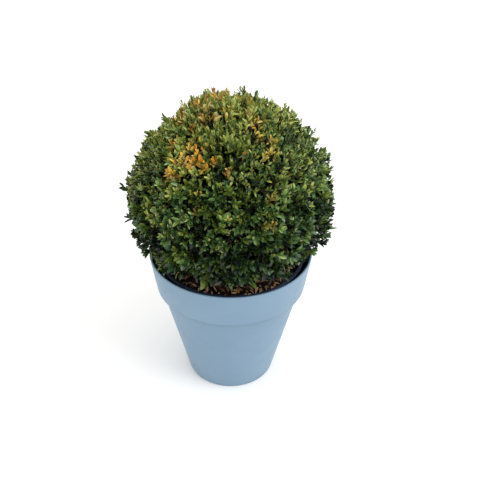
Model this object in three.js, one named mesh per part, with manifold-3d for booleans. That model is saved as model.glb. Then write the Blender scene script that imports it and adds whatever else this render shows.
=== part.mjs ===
// A box bush clipped to a ball.  It grows in a black grower's pot, which stands
// inside a pale blue plastic planter.  Millimetres, +Z up.  The origin is the
// middle of the planter's flat underside, and -Y is the front.

import * as THREE from 'three';
import { mergeVertices } from 'three/addons/utils/BufferGeometryUtils.js';
import Module from 'manifold-3d';

const wasm = await Module();
wasm.setup();

// ---- driving dimensions ------------------------------------------------------

const TOUCH_GAP = 0.4; // left between pieces that rest on each other
const TURN_STEPS = 48; // facets round a pot

const PLANTER = {
  height: 255,
  footRadius: 80,
  footRound: 3,
  bodyTopRadius: 124, // straight flank, up to the collar
  collarFoot: 189, // height of the collar's lower edge
  collarFootRadius: 131,
  collarRound: 4,
  rimRadius: 140,
  wall: 3.4,
  floor: 6,
};

const GROWER_POT = {
  offset: 1.3, // it stands a little to the right inside the planter
  height: 245,
  footRadius: 74,
  topRadius: 121.5,
  lipRadius: 125,
  lipDepth: 4.5,
  wall: 1.6,
  floor: 3,
};

const SOIL = {
  edgeHeight: 226, // at the grower's pot
  footHeight: 230, // round the foot of the stem
  footRadius: 26,
};

// The ball is a sphere changed a little with the sine of the elevation: squat
// pulls its poles in, and taper makes the top half narrower than the lower one.
const CROWN = {
  middle: 370,
  radius: 160,
  squat: 0.074,
  taper: 0.057,
  turnsUnderAt: -36, // elevation, in degrees, at which the level underside begins
  turnSteps: 50,
  clippedRings: 24,
  undersideRings: 2,
};

// Clumps make the clipped surface uneven, as degrees across and millimetres out.
const CLUMPS = { count: 150, spread: 9, hollow: -4.5, swell: 5 };

// Sprays stand out from the ball: the way they point, their width and their reach.
const SPRAYS = [
  { turn: -13, lift: -20, spread: 9, reach: 11 },
  { turn: 196, lift: -36, spread: 11, reach: 8 },
  { turn: 183, lift: 8, spread: 10, reach: 4 },
  { turn: 8, lift: 12, spread: 10, reach: 4 },
  { turn: 205, lift: 76, spread: 14, reach: 4 },
];

const STEM = {
  footRadius: 10.5,
  tipRadius: 8,
  rootFlare: 5,
  flareHeight: 9,
  rootRidges: 5,
  height: 30, // from the soil to the fork
  lean: [3, -2],
  sides: 16,
  steps: 8,
};

const BOUGHS = {
  footRadius: 4.6,
  tipRadius: 3.2,
  leaveAt: 0.5, // part of the stem's height where the first one leaves
  nextLeavesBy: 0.2,
  turnVaries: 10,
  spread: 52, // how far out the tips stand
  spreadVaries: 8,
  endsInside: 1.5, // before they are cut back to the crown's underside
  leaderLean: 8, // how far off the axis the middle one ends
  bend: 0.55,
  sides: 8,
  steps: 8,
};

const LOW_SHOOTS = {
  ring: 77, // distance of each mass's middle from the axis
  height: 256,
  halfTurn: 28.5, // degrees of the ring, each way
  halfDepth: 37,
  above: 30,
  below: 19,
  lean: 0.6, // outwards, for each millimetre up
  squareness: 0.5, // 1 is round in section, less is squarer
  unevenness: 0.18,
  turnSteps: 16,
  rings: 7,
};

const SIDES = ['front', 'front_right', 'back_right', 'back', 'back_left', 'front_left'];
const FRONT_TURN = -90; // degrees from +X to the front

// ---- materials ---------------------------------------------------------------

function material(name, color, roughness) {
  const made = new THREE.MeshStandardMaterial({ color, roughness, metalness: 0 });
  made.name = name;
  return made;
}

const blueShell = material('planter_plastic', 0x8fadc6, 0.42);
const blackPlastic = material('grower_pot_plastic', 0x15181d, 0.5);
const compost = material('compost', 0x2a1d17, 0.95);
const bark = material('bark', 0x6d6252, 0.85);
const clippedLeaves = material('clipped_leaves', 0x39512a, 0.6);
const looseLeaves = material('loose_leaves', 0x27402b, 0.55);

// ---- small tools -------------------------------------------------------------

const turned = (degrees) => THREE.MathUtils.degToRad(degrees);

// A repeatable number from 0 to 1 for item i of the series named by salt.
function chance(i, salt) {
  const wave = Math.sin(i * 12.9898 + salt * 78.233) * 43758.5453;
  return wave - Math.floor(wave);
}

// Points along an arc in the (radius, height) plane, between two angles in degrees.
function arc(radius, height, round, from, to, steps) {
  const points = [];
  for (let i = 0; i <= steps; i += 1) {
    const angle = turned(from + ((to - from) * i) / steps);
    points.push([radius + round * Math.cos(angle), height + round * Math.sin(angle)]);
  }
  return points;
}

// Turns a (radius, height) outline about +Z.
function lathe(outline, steps = TURN_STEPS) {
  const points = outline.map(([radius, height]) => new THREE.Vector2(radius, height));
  const geometry = new THREE.LatheGeometry(points, steps);
  geometry.rotateX(Math.PI / 2);
  return geometry;
}

// Skins a stack of rings, each a list of points, and closes both ends to a point.
function skin(foot, rings, tip) {
  const sides = rings[0].length;
  const points = [foot, ...rings.flat(), tip];
  const last = points.length - 1;
  const at = (ring, side) => 1 + ring * sides + (side % sides);
  const index = [];
  for (let side = 0; side < sides; side += 1) {
    index.push(0, at(0, side + 1), at(0, side));
    index.push(last, at(rings.length - 1, side), at(rings.length - 1, side + 1));
    for (let ring = 0; ring + 1 < rings.length; ring += 1) {
      index.push(at(ring, side), at(ring, side + 1), at(ring + 1, side + 1));
      index.push(at(ring, side), at(ring + 1, side + 1), at(ring + 1, side));
    }
  }
  const geometry = new THREE.BufferGeometry();
  geometry.setAttribute('position', new THREE.Float32BufferAttribute(points.flatMap((p) => p.toArray()), 3));
  geometry.setIndex(index);
  return geometry;
}

// A round limb along a curve; radiusAt gives its radius from the part of its
// length and the angle round it.
function limb(curve, steps, sides, radiusAt) {
  const frames = curve.computeFrenetFrames(steps);
  const rings = [];
  for (let step = 0; step <= steps; step += 1) {
    const part = step / steps;
    const centre = curve.getPointAt(part);
    const ring = [];
    for (let side = 0; side < sides; side += 1) {
      const angle = (2 * Math.PI * side) / sides;
      const radius = radiusAt(part, angle);
      ring.push(
        centre
          .clone()
          .addScaledVector(frames.normals[step], radius * Math.cos(angle))
          .addScaledVector(frames.binormals[step], radius * Math.sin(angle)),
      );
    }
    rings.push(ring);
  }
  return skin(curve.getPointAt(0), rings, curve.getPointAt(1));
}

function toSolid(geometry) {
  const bare = geometry.clone();
  bare.deleteAttribute('normal');
  bare.deleteAttribute('uv');
  const merged = mergeVertices(bare, 1e-3);
  const mesh = new wasm.Mesh({
    numProp: 3,
    vertProperties: Float32Array.from(merged.attributes.position.array),
    triVerts: Uint32Array.from(merged.index.array),
  });
  return new wasm.Manifold(mesh);
}

function toGeometry(solid) {
  const mesh = solid.getMesh();
  const geometry = new THREE.BufferGeometry();
  geometry.setAttribute('position', new THREE.Float32BufferAttribute(mesh.vertProperties, 3));
  geometry.setIndex(Array.from(mesh.triVerts));
  return geometry;
}

// Cuts the neighbours out of a piece.
function cutBack(geometry, neighbours) {
  const rest = neighbours.reduce((left, other) => left.subtract(toSolid(other)), toSolid(geometry));
  return toGeometry(rest);
}

function piece(name, geometry, finish) {
  geometry.computeVertexNormals();
  const mesh = new THREE.Mesh(geometry, finish);
  mesh.name = name;
  return mesh;
}

// ---- the two pots and the soil -----------------------------------------------

function planter() {
  const p = PLANTER;
  const lipRound = p.wall / 2;
  const outside = [
    [0, 0],
    ...arc(p.footRadius - p.footRound, p.footRound, p.footRound, -90, 0, 3),
    [p.bodyTopRadius, p.collarFoot - 1],
    ...arc(p.collarFootRadius - p.collarRound, p.collarFoot + p.collarRound, p.collarRound, -90, 0, 3),
  ];
  const lip = arc(p.rimRadius - lipRound, p.height - lipRound, lipRound, 0, 180, 6);
  const inside = [
    [p.collarFootRadius - p.wall, p.collarFoot + p.collarRound],
    [p.bodyTopRadius - p.wall, p.collarFoot - p.collarRound],
    [p.footRadius - p.wall, p.floor],
    [0, p.floor],
  ];
  return lathe([...outside, ...lip, ...inside]);
}

// Radius of the grower's pot's flank at a height, on its outer face.
function growerPotRadius(height) {
  const g = GROWER_POT;
  const foot = PLANTER.floor + TOUCH_GAP;
  return g.footRadius + ((g.topRadius - g.footRadius) * (height - foot)) / (g.height - g.lipDepth - foot);
}

function growerPot() {
  const g = GROWER_POT;
  const foot = PLANTER.floor + TOUCH_GAP;
  const underLip = g.height - g.lipDepth;
  const outside = [
    [0, foot],
    [g.footRadius - g.wall, foot],
    [growerPotRadius(foot + g.wall), foot + g.wall],
    [g.topRadius, underLip],
    [g.lipRadius, underLip + 1],
    [g.lipRadius, g.height - 1],
    [g.lipRadius - 1, g.height],
  ];
  const inside = [
    [g.topRadius, g.height],
    [g.topRadius - g.wall, g.height - g.wall],
    [g.topRadius - g.wall, underLip],
    [g.footRadius - g.wall, foot + g.floor],
    [0, foot + g.floor],
  ];
  return lathe([...outside, ...inside]);
}

function pottingSoil() {
  const s = SOIL;
  const clear = GROWER_POT.wall + 2 * TOUCH_GAP;
  const floor = PLANTER.floor + GROWER_POT.floor + 2 * TOUCH_GAP;
  const edge = growerPotRadius(s.edgeHeight) - clear;
  const heaped = s.footHeight - s.edgeHeight;
  return lathe([
    [0, floor],
    [GROWER_POT.footRadius - clear - TOUCH_GAP, floor],
    [edge, s.edgeHeight],
    [edge * 0.8, s.edgeHeight + heaped * 0.3],
    [edge * 0.5, s.edgeHeight + heaped * 0.8],
    [s.footRadius, s.footHeight],
    [0, s.footHeight],
  ]);
}

// ---- stem and boughs ---------------------------------------------------------

const stemFoot = new THREE.Vector3(0, 0, SOIL.footHeight + TOUCH_GAP);
const stemTip = stemFoot.clone().add(new THREE.Vector3(...STEM.lean, STEM.height));

function stem() {
  const s = STEM;
  const curve = new THREE.LineCurve3(stemFoot, stemTip);
  const flarePart = s.flareHeight / s.height;
  const geometry = limb(curve, s.steps, s.sides, (part, angle) => {
    const taper = s.footRadius + (s.tipRadius - s.footRadius) * part;
    const flare = s.rootFlare * Math.max(0, 1 - part / flarePart) ** 2;
    return taper + flare * (0.75 + 0.25 * Math.cos(s.rootRidges * angle));
  });
  // The foot is cut level with the soil.
  const position = geometry.attributes.position;
  for (let i = 0; i <= s.sides; i += 1) {
    position.setZ(i, stemFoot.z);
  }
  return geometry;
}

// Distance from the middle of the crown to the smooth ball's surface.
function ballRadius(elevation) {
  const c = CROWN;
  const s = Math.sin(elevation);
  return c.radius * (1 - c.squat * (1.5 * s ** 2 - 0.5) + c.taper * (2.5 * s ** 3 - 1.5 * s));
}

// Radius and height of the ring at an elevation on the smooth ball.
function ballRing(elevation) {
  const reach = ballRadius(elevation);
  return { radius: reach * Math.cos(elevation), height: CROWN.middle + reach * Math.sin(elevation) };
}

const underside = ballRing(turned(CROWN.turnsUnderAt));

function boughCurve(start, turn, distance) {
  const out = new THREE.Vector3(Math.cos(turn), Math.sin(turn), 0);
  const end = out.clone().multiplyScalar(distance);
  end.z = underside.height + BOUGHS.endsInside;
  const bend = start.clone().lerp(end, BOUGHS.bend);
  bend.addScaledVector(out, distance * 0.1);
  bend.z -= (end.z - start.z) * 0.12;
  return new THREE.CatmullRomCurve3([start, bend, end]);
}

function bough(start, turn, distance, swollen = 0) {
  const b = BOUGHS;
  return limb(boughCurve(start, turn, distance), b.steps, b.sides, (part) => {
    return b.footRadius + (b.tipRadius - b.footRadius) * part + swollen;
  });
}

// ---- the crown ---------------------------------------------------------------

// The way that the clumps and sprays point, with how far each stands out.
function surfaceBumps() {
  const golden = Math.PI * (3 - Math.sqrt(5));
  const bumps = [];
  for (let i = 0; i < CLUMPS.count; i += 1) {
    const z = 1 - (2 * (i + 0.5)) / CLUMPS.count;
    const flat = Math.sqrt(1 - z * z);
    const way = new THREE.Vector3(flat * Math.cos(golden * i), flat * Math.sin(golden * i), z);
    const reach = THREE.MathUtils.lerp(CLUMPS.hollow, CLUMPS.swell, chance(i, 1));
    bumps.push({ way, reach, spread: turned(CLUMPS.spread) });
  }
  for (const spray of SPRAYS) {
    const way = new THREE.Vector3(Math.cos(turned(spray.lift)), 0, Math.sin(turned(spray.lift)));
    way.applyAxisAngle(new THREE.Vector3(0, 0, 1), turned(spray.turn));
    bumps.push({ way, reach: spray.reach, spread: turned(spray.spread) });
  }
  return bumps;
}

// Moves a point of the smooth ball out or in, to the uneven clipped surface.
function roughen(point, bumps) {
  const centre = new THREE.Vector3(0, 0, CROWN.middle);
  const way = point.clone().sub(centre).normalize();
  let reach = 0;
  for (const bump of bumps) {
    reach += bump.reach * Math.exp(-((way.angleTo(bump.way) / bump.spread) ** 2));
  }
  return point.clone().addScaledVector(way, reach);
}

function crownBall() {
  const c = CROWN;
  const bumps = surfaceBumps();
  const ringAt = ({ radius, height }) => {
    return Array.from({ length: c.turnSteps }, (_, side) => {
      const angle = (2 * Math.PI * side) / c.turnSteps;
      return new THREE.Vector3(radius * Math.cos(angle), radius * Math.sin(angle), height);
    });
  };
  const rings = [];
  for (let i = 1; i <= c.undersideRings; i += 1) {
    rings.push(ringAt({ radius: (underside.radius * i) / (c.undersideRings + 1), height: underside.height }));
  }
  for (let i = 0; i < c.clippedRings; i += 1) {
    const elevation = turned(THREE.MathUtils.lerp(c.turnsUnderAt, 90, i / c.clippedRings));
    const ring = ringAt(ballRing(elevation)).map((point) => roughen(point, bumps));
    rings.push(i === 0 ? ring.map((point) => point.setZ(underside.height)) : ring);
  }
  const foot = new THREE.Vector3(0, 0, underside.height);
  const top = new THREE.Vector3(0, 0, ballRing(Math.PI / 2).height);
  return skin(foot, rings, roughen(top, bumps));
}

// A loose mass of unclipped shoots, curved round one side of the stem under the
// ball.  Its lower half is flatter than its upper half, so that it clears the soil.
function lowShoots(turn, salt) {
  const l = LOW_SHOOTS;
  const place = (lift, angle, size) => {
    const across = Math.cos(lift) ** l.squareness * size;
    const up = Math.sin(lift) * (lift < 0 ? l.below : l.above);
    const distance = l.ring + l.lean * up + l.halfDepth * across * Math.cos(angle);
    const swing = turn + turned(l.halfTurn) * across * Math.sin(angle);
    return new THREE.Vector3(distance * Math.cos(swing), distance * Math.sin(swing), l.height + up);
  };
  const rings = [];
  for (let ring = 1; ring < l.rings; ring += 1) {
    const lift = -Math.PI / 2 + (Math.PI * ring) / l.rings;
    rings.push(
      Array.from({ length: l.turnSteps }, (_, side) => {
        const size = 1 - l.unevenness * chance(ring * l.turnSteps + side, salt);
        return place(lift, (2 * Math.PI * side) / l.turnSteps, size);
      }),
    );
  }
  return skin(place(-Math.PI / 2, 0, 0), rings, place(Math.PI / 2, 0, 0));
}

// ---- the whole plant ---------------------------------------------------------

const plant = new THREE.Group();

plant.add(piece('planter', planter(), blueShell));

const inner = new THREE.Group();
inner.position.x = GROWER_POT.offset;
inner.add(piece('grower_pot', growerPot(), blackPlastic));
inner.add(piece('potting_soil', pottingSoil(), compost));
plant.add(inner);

const crown = crownBall();
const crownLowered = crown.clone().translate(0, 0, -TOUCH_GAP);
const trunk = stem();
const trunkSwollen = limb(new THREE.LineCurve3(stemFoot, stemTip), 1, STEM.sides, (part) => {
  return STEM.footRadius + (STEM.tipRadius - STEM.footRadius) * part + TOUCH_GAP;
});
trunkSwollen.translate(0, 0, TOUCH_GAP);
plant.add(piece('crown_ball', crown, clippedLeaves));
plant.add(piece('stem', trunk, bark));

// Each bough gives way to the stem, the crown and the boughs already in place.
const taken = [trunkSwollen, crownLowered];
function addBough(name, start, turn, distance) {
  plant.add(piece(name, cutBack(bough(start, turn, distance), taken), bark));
  taken.push(bough(start, turn, distance, TOUCH_GAP));
}

addBough('bough_centre', stemTip, turned(FRONT_TURN + 180), BOUGHS.leaderLean);

const sideTurn = (i) => turned(FRONT_TURN + (360 / SIDES.length) * i);

SIDES.forEach((side, i) => {
  const turn = sideTurn(i) + turned(BOUGHS.turnVaries * (2 * chance(i, 7) - 1));
  const leaveAt = BOUGHS.leaveAt + (i % 2) * BOUGHS.nextLeavesBy;
  const start = stemFoot.clone().lerp(stemTip, leaveAt);
  start.addScaledVector(new THREE.Vector3(Math.cos(turn), Math.sin(turn), 0), STEM.tipRadius * 0.6);
  const distance = BOUGHS.spread + BOUGHS.spreadVaries * (2 * chance(i, 3) - 1);
  addBough(`bough_${side}`, start, turn, distance);
});

SIDES.forEach((side, i) => {
  const mass = lowShoots(sideTurn(i), 11 + i);
  plant.add(piece(`low_shoots_${side}`, cutBack(mass, taken), looseLeaves));
});

export default plant;
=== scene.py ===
"""A box bush clipped to a ball, in a black grower's pot inside a pale blue planter.

Metres, in the frame of the CAD model.  The pots, the soil and the wood get finer
meshes of the shapes that the CAD model gives.  From the ends of the boughs a seeded
branching rule grows branches, twigs and leafy shoots out to the surface of the CAD
masses.  Each spray of leaves is dealt one of a few plain leaf colours.
"""

import math

import bpy
import numpy as np
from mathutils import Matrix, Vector
from mathutils.bvhtree import BVHTree


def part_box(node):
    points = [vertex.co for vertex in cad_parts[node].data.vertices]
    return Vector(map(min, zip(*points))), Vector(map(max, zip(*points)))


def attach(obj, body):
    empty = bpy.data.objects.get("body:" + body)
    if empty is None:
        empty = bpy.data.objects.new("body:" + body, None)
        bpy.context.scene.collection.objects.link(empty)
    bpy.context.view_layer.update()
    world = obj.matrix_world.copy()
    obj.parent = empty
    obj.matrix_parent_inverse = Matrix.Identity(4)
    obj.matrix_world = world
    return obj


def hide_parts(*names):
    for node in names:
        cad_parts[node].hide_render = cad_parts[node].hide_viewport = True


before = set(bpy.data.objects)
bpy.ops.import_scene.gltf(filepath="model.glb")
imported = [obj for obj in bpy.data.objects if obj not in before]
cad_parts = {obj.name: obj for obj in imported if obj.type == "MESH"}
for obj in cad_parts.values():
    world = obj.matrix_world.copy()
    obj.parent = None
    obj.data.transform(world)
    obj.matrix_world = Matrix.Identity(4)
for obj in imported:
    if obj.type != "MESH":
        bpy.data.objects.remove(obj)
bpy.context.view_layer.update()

MM = 0.001
SEED = 20
SIDES = ("front", "front_right", "back_right", "back", "back_left", "front_left")
BOUGHS = ["bough_centre"] + [f"bough_{side}" for side in SIDES]
LOW_SHOOTS = [f"low_shoots_{side}" for side in SIDES]

# ---- the planter, the grower's pot and the soil, as in the CAD model ----
PLANTER_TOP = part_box("planter")[1]
RIM_RADIUS = PLANTER_TOP.x
PLANTER_FOOT_RADIUS = 80 * MM
PLANTER_BODY_TOP_RADIUS = 124 * MM
COLLAR_FOOT_RADIUS = 131 * MM
COLLAR_FOOT = 189 * MM
PLANTER_WALL = 3.4 * MM
PLANTER_FLOOR = 6 * MM
POT_TURN_STEPS = 192

# ---- the crown ----
CROWN_LOW, CROWN_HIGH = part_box("crown_ball")
MIDDLE_PART = 0.38  # how far up the ball its middle is
MIDDLE = np.array([0, 0, CROWN_LOW.z + MIDDLE_PART * (CROWN_HIGH.z - CROWN_LOW.z)])
REACH_STEP = 4  # degrees between the rays that measure the ball
CROWN_RADIUS = CROWN_HIGH.x
LOWEST_ELEVATION = -39  # of the clipped shoots, in degrees from the crown's middle
TUFTS = 230
CLIPPED_SHOOTS = 4100
INNER_SHOOTS_PER_TUFT = 8
LOW_SHOOTS_PER_MASS = 60
LOW_SHOOTS_DRAWN_IN = np.array([0.90, 0.90, 1])  # clear of the planter's rim
SHOOTS_PER_TWIG = 3
UPWARD = np.array([0, 0, 1])
UPRIGHT = 1.2  # how strongly shoots turn up, against outwards
TUFT_DEPTH = 50 * MM  # from the clipped surface to the fork that a tuft grows from
BARE_TWIGS = 14
SHOOT_DEPTH = 6 * MM  # from the CAD surface to the end of a common shoot
SUNKEN_TUFTS = 0.09  # the part of the tufts that sit further in
SUNKEN_DEPTH = 15 * MM
GROOVE_WIDTH = 0.07  # between tufts, in radians
OUTSTANDING_SHOOTS = 0.09  # the part of the shoots that stand out
BARK_RELIEF = 0.05  # of a limb's radius
KNOT_RELIEF = 0.07
STEM_RADII = np.array([0.75, 0.65, 0.55, 0.4]) * MM  # of a shoot, from foot to tip

# ---- leaves ----
LEAF_LENGTH = 14.5 * MM
LEAF_SLENDERNESS = 0.39
PAIR_SPACING = 5.0 * MM
# Half the leaf's outline: how far along, and how wide for a full width of 1.
LEAF_ROWS = ((0.18, 0.64), (0.52, 1.00), (0.86, 0.62))
INNER_LEAF_ROWS = ((0.30, 0.92), (0.75, 0.86))
CUT_EDGE = 0.065  # the dried edge of a cut leaf, as a part of its length
LEAF_OPENING = ((0, 1, 3, 6), (12, 22, 37, 54))  # pairs from the tip, and degrees off the stem
LEAF_AGE = ((0, 1, 2, 4), (0.58, 0.82, 0.97, 1.0))  # pairs from the tip, and part of full length
LITTER_LEAVES = 760
LITTER_SHARES = (0.36, 0.28, 0.28, 0.08)  # of the colours in FALLEN


def srgb(red, green, blue):
    """The linear colour of an sRGB colour given from 0 to 255."""
    def linear(value):
        value /= 255
        return value / 12.92 if value <= 0.04045 else ((value + 0.055) / 1.055) ** 2.4

    return linear(red), linear(green), linear(blue)


# Leaf colours: two rows of greens from old and shaded to young, then autumn and dead ones.
GREEN_ROUGHNESS = {"deep": 0.30, "dark": 0.31, "mid": 0.33, "fresh": 0.35, "bright": 0.38, "pale": 0.42}


def greens(hue, colours):
    """A row of greens, by name, from their sRGB colours."""
    steps = zip(GREEN_ROUGHNESS.items(), colours)
    return {f"{hue}_{step}": (srgb(*colour), roughness) for (step, roughness), colour in steps}


COOL_GREENS = greens("cool", (
    (14, 27, 19), (31, 54, 32), (52, 81, 44), (76, 109, 57), (106, 138, 74), (150, 174, 100),
))
WARM_GREENS = greens("warm", (
    (20, 30, 8), (45, 62, 19), (71, 92, 30), (100, 120, 44), (136, 148, 58), (174, 180, 92),
))
TURNED = {
    "leaf_yellow": (srgb(204, 186, 80), 0.52),
    "leaf_olive": (srgb(132, 124, 50), 0.50),
    "leaf_bronze": (srgb(172, 132, 60), 0.56),
    "leaf_orange": (srgb(236, 184, 72), 0.55),
    "leaf_tan": (srgb(206, 182, 112), 0.70),
    "leaf_brown": (srgb(146, 104, 48), 0.72),
}
SHADED = {"shaded": (srgb(13, 22, 24), 0.50)}  # painted shade: a near-black tint for old leaves in the dark of the bush
FALLEN = {
    "fallen_tan": (srgb(222, 182, 146), 0.80),
    "fallen_rust": (srgb(180, 122, 90), 0.80),
    "fallen_brown": (srgb(116, 78, 60), 0.85),
    "fallen_yellow": (srgb(190, 170, 84), 0.70),
}
STRAW = "cut_straw"
TINTS = {**COOL_GREENS, **WARM_GREENS, **TURNED, **SHADED, **FALLEN, STRAW: (srgb(184, 172, 124), 0.75)}
TINT_NAMES = list(TINTS)
GREEN_STEPS = len(COOL_GREENS)
STRAW_INDEX = TINT_NAMES.index(STRAW)

# Sprays that have turned, in broad patches about where the photo shows them in front and
# guessed at the back: azimuth, elevation and half width in degrees from the crown's
# middle, the part that has turned, and the colours.
TURNED_PATCHES = (
    (-165, 70, 16, 0.70, ("leaf_tan", "leaf_bronze", "leaf_olive", "leaf_brown", "leaf_bronze")),
    (-135, 55, 11, 0.40, ("leaf_olive", "leaf_bronze", "leaf_olive", "leaf_yellow")),
    (-115, 45, 10, 0.85, ("leaf_orange", "leaf_yellow", "leaf_orange")),
    (-50, 65, 10, 0.60, ("leaf_yellow", "leaf_olive", "leaf_bronze", "leaf_orange")),
    (-60, 50, 8, 0.45, ("leaf_yellow", "warm_pale", "leaf_olive")),
    (120, 80, 12, 0.55, ("leaf_bronze", "leaf_yellow", "leaf_olive")),
    (70, 50, 10, 0.50, ("leaf_olive", "leaf_bronze", "leaf_tan")),
    (150, 40, 8, 0.55, ("leaf_orange", "leaf_yellow", "leaf_brown")),
)
YOUNG_SPRAYS = 0.04
STRAY_TURNED = 0.03  # the part of all other sprays that have turned
STRAY_COLOURS = ("leaf_olive", "leaf_yellow", "leaf_bronze", "leaf_olive", "leaf_tan", "leaf_orange")

# How light a spray's green is, for the height of its way up, in steps of the two rows: partly young growth
# at the top, partly painted light from above.
GREEN_BY_LIFT = ((-0.6, -0.1, 0.35, 0.65, 0.85, 1.0), (0.1, 0.75, 2.2, 2.35, 3.1, 3.7))
WARM_BY_LIFT = ((-0.5, 0, 0.5, 0.85), (0.05, 0.25, 0.6, 0.95))  # the part of warm sprays

# Dark gaps between the tufts, where a seeded smooth field is high.
HOLLOW_SIZE = 15 * MM
HOLLOW_LIMITS = (1.0, 1.5)  # of the field, low down and at the top, where gaps are fewer
HOLLOW_DEPTH = 26 * MM

# Loose sprays that the shears missed, where the CAD model has them: azimuth, elevation
# and half width in degrees.
LOOSE_SPRAYS = ((-13, -20, 8), (-164, -36, 9), (-177, 8, 9), (8, 12, 9), (-155, 76, 10))

# Where the shears passed last: roughly as the photo shows in front, guessed at the back.
FRESH_CUTS = ((-40, 45, 25), (-75, 30, 12), (100, 40, 25), (-160, 25, 15))
FRESH_CUT_SHORTENING = 0.22  # of the leaves there

# ---- studio; the camera is fitted to the planter's circles in the photo ----
SKY_AT_HORIZON = 0.74
SKY_OVERHEAD = 1.44
CAMERA_PLACE = (0, -0.9295, 0.8853)
CAMERA_DOWN = 33.47  # degrees below level
CAMERA_LENS = 48.75
SENSOR_WIDTH = 36
CAMERA_SHIFT = 0.0192


# ==== meshes ====
def mesh_piece(name, points, triangles, materials, tints=None):
    """A smooth object from arrays of points and triangles, with a material for each tint."""
    mesh = bpy.data.meshes.new(name)
    mesh.vertices.add(len(points))
    mesh.vertices.foreach_set("co", np.asarray(points, np.float32).ravel())
    mesh.loops.add(3 * len(triangles))
    mesh.loops.foreach_set("vertex_index", np.asarray(triangles, np.int32).ravel())
    mesh.polygons.add(len(triangles))
    mesh.polygons.foreach_set("loop_start", np.arange(0, 3 * len(triangles), 3, dtype=np.int32))
    for made in materials:
        mesh.materials.append(made)
    if tints is not None:
        mesh.polygons.foreach_set("material_index", np.asarray(tints, np.int32))
    mesh.polygons.foreach_set("use_smooth", np.ones(len(triangles), bool))
    mesh.update(calc_edges=True)
    mesh.validate()
    piece = bpy.data.objects.new(name, mesh)
    bpy.context.scene.collection.objects.link(piece)
    return piece


def arc(radius, height, size, start, end, steps):
    """Points of an arc in the (radius, height) plane, between two angles in degrees."""
    angles = np.radians(np.linspace(start, end, steps + 1))
    return [(radius + size * math.cos(a), height + size * math.sin(a)) for a in angles]


def band(low, high, sides):
    """Triangles between two rings of points, from the number of each ring's first point."""
    side = np.arange(sides)
    after = (side + 1) % sides
    first = np.stack([low + side, low + after, high + after], 1)
    second = np.stack([low + side, high + after, high + side], 1)
    return np.vstack([first, second])


def lathe(name, outline, materials, offset=0.0, shape=None):
    """Turns an outline that starts and ends on the axis.  shape(points) may move them."""
    steps = POT_TURN_STEPS
    inner = np.array(outline[1:-1])
    angles = np.linspace(0, 2 * math.pi, steps, endpoint=False)
    rings = np.empty((len(inner), steps, 3))
    rings[..., 0] = inner[:, :1] * np.cos(angles) + offset
    rings[..., 1] = inner[:, :1] * np.sin(angles)
    rings[..., 2] = inner[:, 1:]
    ends = [[offset, 0, outline[0][1]], [offset, 0, outline[-1][1]]]
    points = np.vstack([rings.reshape(-1, 3), ends])
    if shape:
        points = shape(points)
    side = np.arange(steps)
    after = (side + 1) % steps
    triangles = [band(ring * steps, (ring + 1) * steps, steps) for ring in range(len(inner) - 1)]
    foot, tip, last = len(points) - 2, len(points) - 1, (len(inner) - 1) * steps
    triangles.append(np.stack([np.full(steps, foot), after, side], 1))
    triangles.append(np.stack([np.full(steps, tip), last + side, last + after], 1))
    return mesh_piece(name, points, np.vstack(triangles), materials)


def unit(vectors):
    """The same vectors at length 1."""
    length = np.linalg.norm(vectors, axis=-1, keepdims=True)
    return vectors / np.maximum(length, 1e-9)


def square_to(vectors, ways):
    """The unit vectors nearest to the given ones and square to some ways."""
    return unit(vectors - ways * (vectors * ways).sum(-1, keepdims=True))


def across(ways):
    """A unit vector square to each of the given ones."""
    helper = np.where(np.abs(ways[..., 2:]) < 0.9, [0.0, 0.0, 1.0], [1.0, 0.0, 0.0])
    return unit(np.cross(ways, helper))


def tubes(lines, radii, sides):
    """Points and triangles of round limbs, and how many triangles each limb has.

    lines is (limbs, stations, 3) and radii is (limbs, stations).
    """
    count, stations, _ = lines.shape
    ways = unit(np.gradient(lines, axis=1))
    right = across(ways)
    # Each station's sides line up with the first one's.
    for i in range(1, stations):
        right[:, i] = square_to(right[:, i - 1], ways[:, i])
    up = np.cross(ways, right)
    angles = np.linspace(0, 2 * math.pi, sides, endpoint=False)
    ring = right[:, :, None] * np.cos(angles)[:, None] + up[:, :, None] * np.sin(angles)[:, None]
    rings = lines[:, :, None] + ring * radii[:, :, None, None]
    ends = lines[:, -1] + ways[:, -1] * radii[:, -1:] * 0.5
    points = np.concatenate([rings.reshape(count, -1, 3), ends[:, None]], 1)
    side = np.arange(sides)
    after = (side + 1) % sides
    pattern = [band(i * sides, (i + 1) * sides, sides) for i in range(stations - 1)]
    last = (stations - 1) * sides
    pattern.append(np.stack([last + side, last + after, np.full(sides, stations * sides)], 1))
    pattern = np.vstack(pattern)
    starts = np.arange(count)[:, None, None] * points.shape[1]
    return points.reshape(-1, 3), (pattern[None] + starts).reshape(-1, 3), len(pattern)


class Field:
    """A smooth random number, mostly from -1 to 1, for each place."""

    def __init__(self, rng, feature, waves=28):
        self.turns = unit(rng.normal(size=(waves, 3))) * math.pi / feature
        self.turns *= rng.uniform(0.6, 1.4, (waves, 1))
        self.phases = rng.uniform(0, 2 * math.pi, waves)

    def __call__(self, places):
        return np.sin(places @ self.turns.T + self.phases).sum(-1) / math.sqrt(len(self.phases))


# ==== materials ====
def material(name, colour, roughness, specular=0.5):
    """A material of one plain colour, with its shader and its node tree."""
    made = bpy.data.materials.new(name)
    made.use_nodes = True
    shader = made.node_tree.nodes["Principled BSDF"]
    shader.inputs["Base Color"].default_value = (*colour, 1)
    shader.inputs["Roughness"].default_value = roughness
    shader.inputs["Specular IOR Level"].default_value = specular
    made.diffuse_color = (*colour, 1)
    return made, shader, made.node_tree


def add_node(tree, kind, settings=None, operation=None):
    """A shader node, with its operation and the numbers on its sockets."""
    made = tree.nodes.new(f"ShaderNode{kind}")
    if operation:
        made.operation = operation
    for socket, value in (settings or {}).items():
        made.inputs[socket].default_value = value
    return made


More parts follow.
